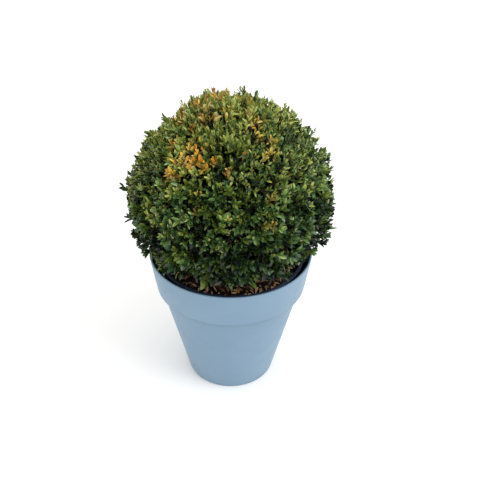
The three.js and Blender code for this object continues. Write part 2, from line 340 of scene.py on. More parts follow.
def noise(tree, scale, detail=4.0, roughness=0.55, stretch=None):
    """A noise texture in object space, so that it stays with the piece."""
    source = add_node(tree, "TexCoord").outputs["Object"]
    texture = add_node(tree, "TexNoise", {"Scale": scale, "Detail": detail, "Roughness": roughness})
    if stretch:
        mapping = add_node(tree, "Mapping", {"Scale": stretch})
        tree.links.new(source, mapping.inputs["Vector"])
        source = mapping.outputs["Vector"]
    tree.links.new(source, texture.inputs["Vector"])
    return texture.outputs["Fac"]


def ramp(tree, source, stops):
    """Turns a number into a colour, by (place, colour) stops."""
    made = add_node(tree, "ValToRGB")
    marks = made.color_ramp.elements
    while len(marks) < len(stops):
        marks.new(0.5)
    for mark, (place, colour) in zip(marks, stops):
        mark.position = place
        mark.color = (*colour, 1)
    tree.links.new(source, made.inputs["Fac"])
    return made.outputs["Color"]


def spread(tree, source, low, high):
    """Maps a noise's middle range to a range of numbers."""
    made = add_node(tree, "MapRange", {"From Min": 0.3, "From Max": 0.7, "To Min": low, "To Max": high})
    tree.links.new(source, made.inputs["Value"])
    return made.outputs["Result"]


def bump(tree, shader, source, strength, distance):
    """Fine relief, too small for the mesh."""
    made = add_node(tree, "Bump", {"Strength": strength, "Distance": distance})
    tree.links.new(source, made.inputs["Height"])
    tree.links.new(made.outputs["Normal"], shader.inputs["Normal"])


def painted_crease_shade(tree, colour, height):
    """Darkens a colour in a thin level line: painted shade in a crease."""
    place = add_node(tree, "TexCoord")
    parts = add_node(tree, "SeparateXYZ")
    above = add_node(tree, "Math", {1: height}, "SUBTRACT")
    away = add_node(tree, "Math", operation="ABSOLUTE")
    fade = add_node(tree, "MapRange", {"From Min": 1.2 * MM, "From Max": 3.2 * MM, "To Min": 0.66})
    shaded = add_node(tree, "VectorMath", operation="SCALE")
    tree.links.new(place.outputs["Object"], parts.inputs["Vector"])
    tree.links.new(parts.outputs["Z"], above.inputs[0])
    tree.links.new(above.outputs["Value"], away.inputs[0])
    tree.links.new(away.outputs["Value"], fade.inputs["Value"])
    tree.links.new(colour, shaded.inputs[0])
    tree.links.new(fade.outputs["Result"], shaded.inputs["Scale"])
    return shaded.outputs["Vector"]


def planter_plastic():
    made, shader, tree = material("planter_plastic", srgb(115, 144, 168), 0.42)
    cloudy = noise(tree, 9, 3)
    colour = ramp(tree, cloudy, ((0.3, srgb(112, 141, 165)), (0.7, srgb(118, 147, 171))))
    # painted shade: a thin dark line along the collar's lower edge
    tree.links.new(painted_crease_shade(tree, colour, COLLAR_FOOT + 0.4 * MM), shader.inputs["Base Color"])
    tree.links.new(spread(tree, noise(tree, 40, 5), 0.38, 0.50), shader.inputs["Roughness"])
    bump(tree, shader, noise(tree, 900, 2), 0.12, 0.0002)
    return made


def grower_pot_plastic():
    made, shader, tree = material("grower_pot_plastic", srgb(36, 50, 74), 0.42)
    dusty = noise(tree, 60, 6, 0.65)
    stops = ((0.35, srgb(30, 43, 66)), (0.62, srgb(42, 57, 82)), (0.8, srgb(84, 90, 100)))
    tree.links.new(ramp(tree, dusty, stops), shader.inputs["Base Color"])
    tree.links.new(spread(tree, noise(tree, 25, 3), 0.35, 0.6), shader.inputs["Roughness"])
    return made


def compost():
    made, shader, tree = material("compost", srgb(38, 28, 24), 0.95, 0.25)
    crumbs = noise(tree, 220, 8, 0.7)
    stops = ((0.3, srgb(20, 15, 15)), (0.55, srgb(44, 31, 26)), (0.75, srgb(78, 54, 40)))
    tree.links.new(ramp(tree, crumbs, stops), shader.inputs["Base Color"])
    bump(tree, shader, crumbs, 0.9, 0.002)
    return made


def bark():
    made, shader, tree = material("bark", srgb(120, 104, 84), 0.85, 0.3)
    fissures = noise(tree, 160, 6, 0.65, (1, 1, 0.25))
    stops = ((0.32, srgb(62, 52, 42)), (0.5, srgb(118, 102, 80)), (0.72, srgb(160, 146, 120)))
    tree.links.new(ramp(tree, fissures, stops), shader.inputs["Base Color"])
    bump(tree, shader, fissures, 0.8, 0.0008)
    return made


def leaf_materials():
    """One plain glossy leaf colour for each tint, in the order of TINT_NAMES."""
    made = []
    for name, (colour, roughness) in TINTS.items():
        leaf, shader, _ = material(name, colour, roughness)
        shader.inputs["Coat Weight"].default_value = 0.1 if name in COOL_GREENS else 0.0
        shader.inputs["Coat Roughness"].default_value = 0.28
        made.append(leaf)
    return made


# ==== planter, grower's pot and soil ====
def build_planter():
    """The planter: a tapered body, a collar with a crease under it, and a rounded rim."""
    lip = PLANTER_WALL / 2
    height = PLANTER_TOP.z
    foot_round, collar_round = 3 * MM, 3 * MM
    shoulder, neck_inset, below_collar = 1.4 * MM, 1.6 * MM, 4 * MM
    outside = [
        (0, 0),
        *arc(PLANTER_FOOT_RADIUS - foot_round, foot_round, foot_round, -90, -14, 6),
        (PLANTER_BODY_TOP_RADIUS - neck_inset, COLLAR_FOOT - below_collar),
        *arc(PLANTER_BODY_TOP_RADIUS, COLLAR_FOOT - shoulder, shoulder, 180, 90, 5),
        *arc(COLLAR_FOOT_RADIUS - collar_round, COLLAR_FOOT + collar_round, collar_round, -90, -10, 6),
    ]
    rim = arc(RIM_RADIUS - lip, height - lip, lip, -8, 188, 14)
    inside = [
        (COLLAR_FOOT_RADIUS - PLANTER_WALL, COLLAR_FOOT + collar_round),
        (PLANTER_BODY_TOP_RADIUS - PLANTER_WALL, COLLAR_FOOT - below_collar),
        (PLANTER_FOOT_RADIUS - PLANTER_WALL, PLANTER_FLOOR),
        (0, PLANTER_FLOOR),
    ]
    piece = lathe("planter_shell", [*outside, *rim, *inside], [planter_plastic()])
    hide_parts("planter")
    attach(piece, "root")


def build_grower_pot():
    """The black inner pot, with a beaded lip."""
    low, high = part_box("grower_pot")
    offset = (low.x + high.x) / 2
    lip_radius, top, foot = high.x - offset, high.z, low.z
    lip_depth, wall, floor = 4.5 * MM, 1.6 * MM, 3 * MM
    neck, foot_radius = lip_radius - 3.5 * MM, 74 * MM
    bead = 1.1 * MM
    outline = [
        (0, foot),
        (foot_radius - wall, foot),
        (foot_radius, foot + wall),
        (neck, top - lip_depth),
        *arc(lip_radius - bead, top - lip_depth + bead, bead, -90, 0, 4),
        *arc(lip_radius - bead, top - bead, bead, 0, 90, 4),
        *arc(neck - wall + bead, top - bead, bead, 90, 180, 4),
        (neck - wall, top - lip_depth),
        (foot_radius - wall, foot + floor),
        (0, foot + floor),
    ]
    piece = lathe("inner_pot_shell", outline, [grower_pot_plastic()], offset=offset)
    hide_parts("grower_pot")
    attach(piece, "root")


def soil_height(rng):
    """A function: the height of the soil's surface, for each place."""
    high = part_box("potting_soil")[1]
    lumps, crumbs = Field(rng, 16 * MM), Field(rng, 4 * MM)
    edge_drop = 4 * MM

    def height(places):
        distance = np.hypot(places[:, 0], places[:, 1]) / high.x
        flat = np.column_stack([places[:, :2], np.zeros(len(places))])
        rough = lumps(flat) * 1.1 * MM + crumbs(flat) * 0.5 * MM
        return high.z - edge_drop * distance**2 + rough * np.minimum(1, distance * 3)

    return height


def build_soil(height):
    """The compost, with a rough top."""
    low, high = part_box("potting_soil")
    offset = (low.x + high.x) / 2
    radius, foot_radius = high.x - offset, 71 * MM
    rings = np.linspace(radius, 0, 56)
    top = [(r, high.z) for r in rings]
    outline = [(0, low.z), (foot_radius, low.z), *top]

    def roughen(points):
        on_top = points[:, 2] > high.z - MM
        points[on_top, 2] = height(points[on_top])
        return points

    piece = lathe("soil_bed", outline, [compost()], offset=offset, shape=roughen)
    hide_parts("potting_soil")
    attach(piece, "root")


# ==== wood ====
def node_points(name):
    """The points of a CAD node's mesh."""
    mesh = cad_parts[name].data
    points = np.empty(3 * len(mesh.vertices))
    mesh.vertices.foreach_get("co", points)
    return points.reshape(-1, 3)


def limb_stations(name, count):
    """Middles and radii along a CAD limb, from its foot to its tip."""
    points = node_points(name)
    order = np.argsort(points[:, 2])
    tenth = max(8, len(order) // 10)
    foot, tip = points[order[:tenth]].mean(0), points[order[-tenth:]].mean(0)
    chord = tip - foot
    along = (points - foot) @ chord / (chord @ chord)
    middles, radii = [], []
    for part in np.linspace(0.04, 0.96, count):
        near = points[np.argsort(np.abs(along - part))[: max(16, len(points) // 8)]]
        middle = near.mean(0)
        offsets = near - middle
        offsets -= np.outer(offsets @ chord, chord) / (chord @ chord)
        middles.append(middle)
        radii.append(np.linalg.norm(offsets, axis=1).mean())
    middles[0], middles[-1] = foot, tip
    return np.array(middles), np.array(radii)


def smooth_line(points, count):
    """A smooth line of evenly spread points through the given ones."""
    parts = np.linspace(0, len(points) - 1, count)
    index = np.clip(parts.astype(int), 0, len(points) - 2)
    t = (parts - index)[:, None]
    padded = np.vstack([2 * points[0] - points[1], points, 2 * points[-1] - points[-2]])
    p0, p1, p2, p3 = (padded[index + k] for k in range(4))
    line = 2 * p1 + (p2 - p0) * t + (2 * p0 - 5 * p1 + 4 * p2 - p3) * t**2
    return 0.5 * (line + (3 * p1 - p0 - 3 * p2 + p3) * t**3)


def bark_piece(name, node, middles, radii, rng, sides, rings):
    """A limb with ridged, knotted bark, which stands for a CAD limb."""
    line = smooth_line(middles, rings)
    radius = np.interp(np.linspace(0, 1, rings), np.linspace(0, 1, len(radii)), radii)
    points, triangles, _ = tubes(line[None], radius[None], sides)
    core = np.repeat(line, sides, 0)
    body = points[:-1]
    ways = body - core
    ridges = Field(rng, 2.6 * MM)(np.column_stack([body[:, :2], body[:, 2] * 0.3]))
    knots = Field(rng, 9 * MM)(body)
    points[:-1] = core + ways * (1 + BARK_RELIEF * ridges + KNOT_RELIEF * knots)[:, None]
    piece = mesh_piece(name, points, triangles, [BARK])
    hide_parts(node)
    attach(piece, "root")


def build_limbs(rng):
    """The stem and the boughs.  Returns each bough's middles, the way it ends and its radius there."""
    middles, radii = limb_stations("stem", 8)
    middles[0, 2] -= 1.5 * MM
    bark_piece("stem_bark", "stem", middles, radii, rng, 40, 48)
    fork = middles[-1]
    ends = {}
    for node in BOUGHS:
        middles, radii = limb_stations(node, 5)
        inward = middles[0] + 0.35 * (fork - middles[0]) * [1, 1, 0]
        middles = np.vstack([inward, middles])
        radii = np.concatenate([[radii[0] * 1.1], radii])
        bark_piece(f"{node}_bark", node, middles, radii, rng, 16, 30)
        ends[node] = (middles, unit(middles[-1] - middles[-2]), radii[-1])
    return ends


# ==== the branching rule ====
def crown_reach():
    """A function: distance from the crown's middle to its CAD surface, for each way."""
    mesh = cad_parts["crown_ball"].data
    tree = BVHTree.FromPolygons([v.co for v in mesh.vertices], [p.vertices for p in mesh.polygons])
    azimuths, elevations = np.arange(-180, 181, REACH_STEP), np.arange(-90, 91, REACH_STEP)
    grid = np.empty((len(azimuths), len(elevations)))
    for i, azimuth in enumerate(azimuths):
        for j, elevation in enumerate(elevations):
            grid[i, j] = tree.ray_cast(Vector(MIDDLE), Vector(way_of(azimuth, elevation)))[3]

    def reach(ways):
        a, e = angles_of(ways)
        x, y = (a + 180) / REACH_STEP, (e + 90) / REACH_STEP
        i = np.minimum(x.astype(int), len(azimuths) - 2)
        j = np.minimum(y.astype(int), len(elevations) - 2)
        u, v = x - i, y - j
        low = grid[i, j] * (1 - u) + grid[i + 1, j] * u
        high = grid[i, j + 1] * (1 - u) + grid[i + 1, j + 1] * u
        return low * (1 - v) + high * v

    return reach


def angles_of(ways):
    """Azimuth and elevation, in degrees, of unit vectors."""
    return np.degrees(np.arctan2(ways[:, 1], ways[:, 0])), np.degrees(np.arcsin(np.clip(ways[:, 2], -1, 1)))


def way_of(azimuth, elevation):
    """The unit vector of an azimuth and an elevation in degrees."""
    a, e = math.radians(azimuth), math.radians(elevation)
    return np.array([math.cos(e) * math.cos(a), math.cos(e) * math.sin(a), math.sin(e)])


def closeness(ways, middle, half_width):
    """1 near a patch's middle, and 0 well outside its half width in degrees."""
    apart = np.degrees(np.arccos(np.clip(ways @ middle, -1, 1)))
    return np.exp(-((apart / half_width) ** 4))


def in_patches(ways, patches):
    """How far each way lies in patches given by azimuth, elevation and half width."""
    return sum(closeness(ways, way_of(azimuth, elevation), width) for azimuth, elevation, width in patches)


def in_hollows(ways, rng):
    """How far each way lies in a dark gap, from 0 to 1."""
    field = Field(rng, HOLLOW_SIZE)(ways * CROWN_RADIUS)
    limit = np.interp(ways[:, 2], [0.2, 0.9], HOLLOW_LIMITS)
    return np.clip(3 * (field - limit), 0, 1)


def even_ways(count, lowest, rng):
    """Unit vectors spread evenly over a ball, down to an elevation in degrees."""
    floor = math.sin(math.radians(lowest))
    i = np.arange(count) + 0.5
    z = 1 - i / count * (1 - floor)
    turn = i * math.pi * (3 - math.sqrt(5))
    flat = np.sqrt(1 - z**2)
    ways = np.column_stack([flat * np.cos(turn), flat * np.sin(turn), z])
    spacing = math.sqrt(4 * math.pi * (1 - floor) / 2 / count)
    return unit(ways + rng.normal(0, 0.3 * spacing, ways.shape))


def split_tips(tips, count, rng):
    """Sorts tips into groups of near neighbours; returns each group's indices."""
    middles = tips[rng.choice(len(tips), count, replace=False)]
    for _ in range(6):
        nearest = ((tips[:, None] - middles[None]) ** 2).sum(-1).argmin(1)
        middles = np.array([
            tips[nearest == k].mean(0) if (nearest == k).any() else middles[k]
            for k in range(count)
        ])
    return [np.flatnonzero(nearest == k) for k in range(count) if (nearest == k).any()]


class Growth:
    """Limbs, and leafy shoots in sprays, grown from a limb's end towards the tips it feeds."""

    def __init__(self, rng):
        self.rng = rng
        self.limbs = []
        self.shoots = []
        self.sprays = 0

    def limb(self, base, way, end, thick, thin):
        """Adds a limb that leaves its base in a given way; returns the way it ends."""
        bend = base + way * np.linalg.norm(end - base) * 0.45
        self.limbs.append((base, bend, end, thick, thin))
        return unit(end - bend)

    def grow(self, base, way, radius, tips, which, few, finish, fork_at=0.36):
        """Forks towards groups of near tips, and hands on each group that has few."""
        if len(which) <= few:
            finish(base, way, radius, which)
            return
        count = 4 if len(which) > 40 else 3 if len(which) > 8 else 2
        for group in split_tips(tips[which], count, self.rng):
            middle = tips[which[group]].mean(0)
            wander = self.rng.normal(0, 0.05 * np.linalg.norm(middle - base), 3)
            fork = base + (middle - base) * fork_at + wander
            thin = max(0.6 * MM, radius * (len(group) / len(which)) ** 0.42)
            heading = self.limb(base, way, fork, min(radius, thin * 1.3), thin)
            self.grow(fork, heading, thin, tips, which[group], few, finish, fork_at)

    def spray(self, tips):
        """What to do with the last few tips: each gets a shoot, and all of them a number."""
        def finish(base, way, radius, which):
            for tip in which:
                self.shoots.append((base, tips[tip], tip, self.sprays))
            self.sprays += 1

        return finish


def curve(base, bend, end, parts):
    """Places along quadratic curves, and the ways they run there."""
    t = parts[..., None]
    place = base * (1 - t) ** 2 + 2 * bend * t * (1 - t) + end * t**2
    way = unit(2 * (bend - base) * (1 - t) + 2 * (end - bend) * t)
    return place, way


def curved_lines(base, bend, end, stations):
    """Places along quadratic curves, evenly spread in the curve's own terms."""
    parts = np.tile(np.linspace(0, 1, stations), (len(base), 1))
    return curve(base[:, None], bend[:, None], end[:, None], parts)[0]


# ==== leaves ====
def leaf_outline(along):
    """Half the leaf's width at places along it, for a full width of 1."""
    rows = ((0, 0.06), *LEAF_ROWS, (1, 0.0))
    return np.interp(along, [r[0] for r in rows], [r[1] for r in rows])


def leaf_mesh(leaves, leaf_rows=LEAF_ROWS):
    """Points, triangles and tints of leaves.  leaves is a dict of arrays, one row a leaf."""
    count = len(leaves["length"])
    kept = leaves["kept"][:, None]
    is_cut = kept < 1
    rows = np.array([r[0] for r in leaf_rows])[None].repeat(count, 0)
    if is_cut.any():
        cut_rows = np.concatenate([kept * 0.4, kept - CUT_EDGE, kept], 1)
        rows = np.where(is_cut, cut_rows, rows)
    widths = leaf_outline(rows)
    tip = np.where(is_cut, kept + 0.012, 1.0)
    none = np.zeros((count, 1))
    along = np.concatenate([none, rows.repeat(3, 1), tip], 1)
    side = np.concatenate([none, (widths[:, :, None] * [-1, 0, 1]).reshape(count, -1), none], 1)
    half = leaves["length"] * LEAF_SLENDERNESS / 2 * leaves["broad"]
    lift = leaves["fold"][:, None] * np.abs(side) * half[:, None]
    lift = lift + leaves["bend"][:, None] * along**2 * leaves["length"][:, None]
    points = (
        leaves["base"][:, None]
        + leaves["way"][:, None] * (along * leaves["length"][:, None])[..., None]
        + leaves["across"][:, None] * (side * half[:, None])[..., None]
        + leaves["face"][:, None] * lift[..., None]
    )
    last = 3 * len(leaf_rows) + 1
    pattern = [(0, 2, 1), (0, 3, 2)]
    for row in range(len(leaf_rows) - 1):
        left = 1 + 3 * row
        for k in (left, left + 1):
            pattern += [(k, k + 1, k + 4), (k, k + 4, k + 3)]
    pattern += [(last - 3, last - 2, last), (last - 2, last - 1, last)]
    pattern = np.array(pattern)
    triangles = pattern[None] + (np.arange(count) * (last + 1))[:, None, None]
    tints = leaves["tint"][:, None].repeat(len(pattern), 1)
    # painted highlight: the triangles on one side of the midrib take the leaf's lit tint
    right = (pattern % 3 == 0).any(1) & (pattern > 0).all(1) & (pattern < last).all(1)
    tints[:, right] = leaves.get("lit_tint", leaves["tint"])[:, None]
    tints[np.ix_(is_cut[:, 0], np.arange(len(pattern) - 6, len(pattern)))] = STRAW_INDEX
    return points.reshape(-1, 3), triangles.reshape(-1, 3), tints.ravel()


def leaves_on(shoots, rng, length_of, droop):
    """Opposite pairs of leaves, each pair square to the one before, along the shoots."""
    base, bend, end = shoots["base"], shoots["bend"], shoots["end"]
    long = np.linalg.norm(end - base, axis=1)
    bare = shoots["bare"]
    pairs = np.clip(((1 - bare) * long / PAIR_SPACING).astype(int), 2, 9)
    owner = np.repeat(np.arange(len(long)), pairs)
    first = np.concatenate([[0], np.cumsum(pairs)[:-1]])
    from_tip = np.arange(len(owner)) - first[owner]
    part = 1 - from_tip * PAIR_SPACING / long[owner] * rng.uniform(0.85, 1.15, len(owner))
    place, way = curve(base[owner], bend[owner], end[owner], np.clip(part, 0.05, 1))
    right = across(way)
    up = np.cross(way, right)
    turn = shoots["turn"][owner] + from_tip * math.pi / 2 + rng.normal(0, 0.2, len(owner))
    sides = []
    for opposite in (0, math.pi):
        angle = (turn + opposite)[:, None]
        out = right * np.cos(angle) + up * np.sin(angle)
        opening = np.interp(from_tip, *LEAF_OPENING) + rng.normal(0, 8, len(owner))
        opening = np.radians(opening)[:, None]
        leaf_way = way * np.cos(opening) + out * np.sin(opening)
        leaf_way = unit(leaf_way + [0, 0, -1] * (droop * rng.uniform(0, 1, (len(owner), 1))))
        face = way * np.sin(opening) - out * np.cos(opening)
        face = unit(face + rng.normal(0, 0.18, out.shape) + [0, 0, 0.2])
        sides.append((owner, from_tip, place, leaf_way, square_to(face, leaf_way)))
    names = ("owner", "from_tip", "base", "way", "face")
    leaves = {name: np.concatenate(both) for name, both in zip(names, zip(*sides))}
    count = len(leaves["owner"])
    leaves["across"] = np.cross(leaves["way"], leaves["face"])
    age = np.interp(leaves["from_tip"], *LEAF_AGE)
    leaves["length"] = length_of[leaves["owner"]] * age * rng.normal(1, 0.1, count).clip(0.75, 1.3)
    leaves["broad"] = rng.normal(1, 0.12, count).clip(0.75, 1.35)
    leaves["fold"] = rng.uniform(0.2, 0.65, count)
    leaves["bend"] = rng.normal(-0.06, 0.09, count)
    leaves["kept"] = np.ones(count)
    return leaves


def keep(leaves, mask):
    """The leaves that a mask picks out."""
    return {key: value[mask] for key, value in leaves.items()}


def clip_leaves(leaves, clipped, reach, rng):
    """Cuts the leaves of clipped shoots where they pass the clipped surface."""
    tips = leaves["base"] + leaves["way"] * leaves["length"][:, None]
    offset = tips - MIDDLE
    distance = np.linalg.norm(offset, axis=1)
    ways = offset / distance[:, None]
    limit = reach(ways) - rng.uniform(0, 2.5, len(distance)) * MM
    steep = np.maximum(0.25, (leaves["way"] * ways).sum(-1))
    over = (distance - limit) / (steep * leaves["length"])
    cut = clipped[leaves["owner"]] & (over > 0.06)
    leaves["kept"] = np.where(cut, 1 - over, 1.0)
    return keep(leaves, leaves["kept"] > 0.34)


# ==== colours dealt out by spray ====
def tint_numbers(names, count, rng):
    """The numbers of tints drawn from some names."""
    return np.array([TINT_NAMES.index(name) for name in rng.choice(names, count)], int)


def deal_greens(spray_way, rng):
    """How light each spray's green is, with painted light at the top and on the lamp's side, and whether it
    is one of the warm ones.
    """
    sprays, lift = len(spray_way), spray_way[:, 2]
    patchy = Field(rng, 34 * MM)(spray_way * CROWN_RADIUS)
    level = np.interp(lift, *GREEN_BY_LIFT)
    # painted light: sprays on the right, towards the lamp, get lighter greens
    level = level + 0.15 * spray_way[:, 0] - 0.45 * in_patches(spray_way, FRESH_CUTS)
    level = level + 0.6 * patchy + rng.normal(0, 0.7, sprays)
    level[rng.uniform(0, 1, sprays) < YOUNG_SPRAYS] += 2
    warmth = np.interp(lift, *WARM_BY_LIFT) - 0.35 * spray_way[:, 0]
    return level, rng.uniform(0, 1, sprays) < warmth


def deal_turned(spray_way, rng):
    """The tint of each spray that has turned, and -1 for the green ones."""
    sprays = len(spray_way)
    turned = np.full(sprays, -1)
    likely = STRAY_TURNED * np.interp(spray_way[:, 2], [-0.1, 0.6], [0, 1.6])
    stray = rng.uniform(0, 1, sprays) < likely
    turned[stray] = tint_numbers(STRAY_COLOURS, stray.sum(), rng)
    for azimuth, elevation, half_width, part, colours in TURNED_PATCHES:
        likely = part * closeness(spray_way, way_of(azimuth, elevation), half_width)
        inside = rng.uniform(0, 1, sprays) < likely
        turned[inside] = tint_numbers(colours, inside.sum(), rng)
    return turned


def deal_tints(leaves, shoots, sunk, rng):
    """Gives each leaf a tint: its spray's, with an older one further down, and a darker one deeper in as
    painted shade.

    sunk is how much deeper in than usual each shoot ends.
    """
    spray_way = np.zeros((shoots["spray"].max() + 1, 3))
    np.add.at(spray_way, shoots["spray"], unit(shoots["end"] - MIDDLE))
    spray_way = unit(spray_way)
    level, warm = deal_greens(spray_way, rng)
    turned = deal_turned(spray_way, rng)
    spray = shoots["spray"][leaves["owner"]]
    count = len(spray)
    young = np.interp(leaves["from_tip"], [0, 1, 2, 5], [0.8, 0.4, 0.0, -0.9])
    # painted shade: shoots that end deeper in get darker greens, and those that stand out lighter ones
    shade = np.clip(sunk / (8 * MM), -0.7, 2.0)[leaves["owner"]]
    green = np.rint(level[spray] + young - shade + rng.normal(0, 0.75, count))
    tint = np.clip(green, 0, GREEN_STEPS - 1).astype(int)
    # painted highlight: about half the leaves get the next lighter green on one half, as if that half faced
    # the light
    painted_lit_half = rng.uniform(0, 1, count) < 0.5
    lit = np.minimum(tint + painted_lit_half, GREEN_STEPS - 1)
    hue = GREEN_STEPS * (warm[spray] ^ (rng.uniform(0, 1, count) < 0.2))
    tint, lit = tint + hue, lit + hue
    # In a spray that has turned most leaves have, and the rest are on their way.
    likely = np.interp(leaves["from_tip"], [0, 6], [0.85, 0.4])
    fades = (turned[spray] >= 0) & (rng.uniform(0, 1, count) < likely)
    tint[fades] = turned[spray][fades]
    mixed = fades & (rng.uniform(0, 1, count) < 0.25)
    tint[mixed] = tint_numbers(STRAY_COLOURS, mixed.sum(), rng)
    leaves["tint"] = tint
    leaves["lit_tint"] = np.where(fades, tint, lit)
    return leaves


# ==== the crown ====
def crown_tips(reach, rng):
    """The places that the clipped shoots grow to, and the tuft that each belongs to."""
    hubs = even_ways(TUFTS, LOWEST_ELEVATION, rng)
    ways = even_ways(CLIPPED_SHOOTS, LOWEST_ELEVATION, rng)
    apart = np.arccos(np.clip(ways @ hubs.T, -1, 1))
    tuft = apart.argmin(1)
    nearest = np.partition(apart, 1, axis=1)[:, :2]
    groove = np.exp(-((nearest[:, 1] - nearest[:, 0]) / GROOVE_WIDTH) ** 2)
    back = rng.normal(0, 2.8 * MM, TUFTS)
    back[rng.uniform(0, 1, TUFTS) < SUNKEN_TUFTS] += SUNKEN_DEPTH
    cut = in_patches(ways, FRESH_CUTS)
    seldom = np.interp(ways[:, 2], [-0.2, 0.2], [0.08, 1])
    clipped = rng.uniform(0, 1, len(ways)) < np.clip(0.22 + 0.6 * cut, 0, 0.85) * seldom
    outstanding = rng.uniform(0, 1, len(ways)) < OUTSTANDING_SHOOTS
    low = np.interp(ways[:, 2], [-0.3, 0.4], [1.5, 1.0])
    depth = SHOOT_DEPTH + back[tuft] + low * groove * rng.uniform(4, 17, len(ways)) * MM
    depth = depth + HOLLOW_DEPTH * in_hollows(ways, rng)
    loose = in_patches(ways, LOOSE_SPRAYS)
    depth = depth + loose * np.where(rng.uniform(0, 1, len(ways)) < 0.35, -8 * MM, 7 * MM)
    depth = depth + Field(rng, 45 * MM)(ways * CROWN_RADIUS) * 3 * MM + rng.normal(0, 2.8 * MM, len(ways))
    depth = np.where(clipped, depth - 5 * MM, depth)
    depth = np.where(outstanding, depth - 9 * MM, depth)
    depth = np.maximum(depth, np.where(outstanding, -4 * MM, -1.5 * MM))
    tips = MIDDLE + ways * (reach(ways) - depth)[:, None]
    bases = MIDDLE + hubs * (reach(hubs) - TUFT_DEPTH)[:, None] - [0, 0, 6 * MM]
    return tips, tuft, bases, clipped


def low_tips(rng):
    """The places that the loose shoots under the ball grow to, for each mass."""
    for node in LOW_SHOOTS:
        points = node_points(node)
        faces = np.array([p.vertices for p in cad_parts[node].data.polygons])
        corners = points[faces]
        middles = corners.mean(1)
        edges = corners[:, 1] - corners[:, 0], corners[:, 2] - corners[:, 0]
        area = np.linalg.norm(np.cross(*edges), axis=1)
        outer = np.hypot(middles[:, 0], middles[:, 1])
        weight = area * (middles[:, 2] < CROWN_LOW.z - 2 * MM) * np.clip(outer / outer.max(), 0.2, 1) ** 2
        chosen = rng.choice(len(faces), LOW_SHOOTS_PER_MASS, p=weight / weight.sum())
        mix = rng.dirichlet((1, 1, 1), LOW_SHOOTS_PER_MASS)
        tips = (corners[chosen] * mix[:, :, None]).sum(1)
        yield node, (tips + (points.mean(0) - tips) * [0.28, 0.28, 0.38]) * LOW_SHOOTS_DRAWN_IN


def gather(growth, clipped, rng):
    """Arrays of a growth's shoots, which turn upwards to the light."""
    base, end, tip, spray = (np.array(column) for column in zip(*growth.shoots))
    long = np.linalg.norm(end - base, axis=1)[:, None]
    outward = unit(end - MIDDLE)
    heading = unit(outward + UPWARD * UPRIGHT + rng.normal(0, 0.16, base.shape))
    return {
        "base": base,
        "bend": end - heading * long * 0.5,
        "end": end,
        "spray": spray,
        "clipped": clipped[tip],
        "turn": rng.uniform(0, math.pi, len(base)),
        "bare": np.full(len(base), 0.12),
    }


def grow_crown(ends, reach, rng):
    """Grows from the boughs to the forks of the tufts, and from there to the clipped tips."""
    tips, tuft, bases, clipped = crown_tips(reach, rng)
    ways = unit(bases - MIDDLE)
    heads = np.array([ends[node][0][-1] for node in BOUGHS]) - MIDDLE * [1, 1, 0]
    heads = unit(heads * [1, 1, 0])
    nearness = ways @ heads.T
    nearness[:, 0] = ways[:, 2] * 0.72 + 0.1  # the middle bough feeds the top
    feeder = nearness.argmax(1)
    growth = Growth(rng)
    finish = growth.spray(tips)

    def open_out(base, way, radius, which):
        """Takes a branch to the fork of its tuft, and forks on from there to the tuft's tips."""
        for one in which:
            thin = radius * 0.9
            heading = growth.limb(base, way, bases[one], radius, thin)
            members = np.flatnonzero(tuft == one)
            growth.grow(bases[one], heading, thin, tips, members, SHOOTS_PER_TWIG, finish, 0.3)

    for k, node in enumerate(BOUGHS):
        line, way, radius = ends[node]
        growth.grow(line[-1], way, radius, bases, np.flatnonzero(feeder == k), 1, open_out)
    return growth, clipped, bases


def grow_low_shoots(ends, rng):
    """Grows from each outer bough to the tips of the loose shoots under it."""
    growth = Growth(rng)
    for node, tips in low_tips(rng):
        line, way, radius = ends[node.replace("low_shoots", "bough")]
        everyone = np.arange(len(tips))
        level_way, thin, finish = unit(way * [1, 1, 0.1]), radius * 0.6, growth.spray(tips)
        growth.grow(line[-2], level_way, thin, tips, everyone, SHOOTS_PER_TWIG, finish, 0.3)
    return growth


def inner_shoots(bases, rng):
    """Short shoots with old leaves, which fill the dark of the bush."""
    base = np.repeat(bases, INNER_SHOOTS_PER_TUFT, 0)
    way = unit(rng.normal(0, 1, base.shape))
    end = base + way * rng.uniform(14, 34, (len(base), 1)) * MM
    return {
        "base": base - way * 4 * MM,
        "bend": (base + end) / 2,
        "end": end,
        "spray": np.arange(len(base)),
        "clipped": np.zeros(len(base), bool),
        "turn": rng.uniform(0, math.pi, len(base)),
        "bare": np.full(len(base), 0.0),
    }


def bare_twigs(reach, rng):
    """Leafless twigs that stand a little out of the crown."""
    way = even_ways(BARE_TWIGS, 15, rng)
    base = MIDDLE + way * (reach(way) - 22 * MM)[:, None]
    end = MIDDLE + way * (reach(way) + rng.uniform(-3, 5, BARE_TWIGS) * MM)[:, None] + UPWARD * 4 * MM
    bend = (base + end) / 2 - UPWARD * 3 * MM
    return {"base": base, "bend": bend, "end": end, "clipped": np.ones(BARE_TWIGS, bool)}


def wood_piece(name, parts, colours):
    """One piece from sets of tubes, each given as points, triangles and tints."""
    points, triangles, tints, start = [], [], [], 0
    for some_points, some_triangles, some_tints in parts:
        points.append(some_points)
        triangles.append(some_triangles + start)
        tints.append(some_tints)
        start += len(some_points)
    materials = [material(colour, value, 0.75, 0.3)[0] for colour, value in colours.items()]
    piece = mesh_piece(name, np.vstack(points), np.vstack(triangles), materials, np.concatenate(tints))
    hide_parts("crown_ball", *LOW_SHOOTS)
    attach(piece, "root")


def build_branches(growths):
    """The limbs that the branching rule grew, from the boughs to the shoots."""
    parts = []
    for growth in growths:
        base, bend, end, thick, thin = (np.array(column) for column in zip(*growth.limbs))
        lines = curved_lines(base, bend, end, 5)
        along = np.linspace(0, 1, 5)
        radii = thick[:, None] * (1 - along) + thin[:, None] * along
        points, triangles, _ = tubes(lines, radii, 5)
        parts.append((points, triangles, np.zeros(len(triangles), int)))
    wood_piece("branches", parts, {"branch_grey": srgb(64, 60, 52)})


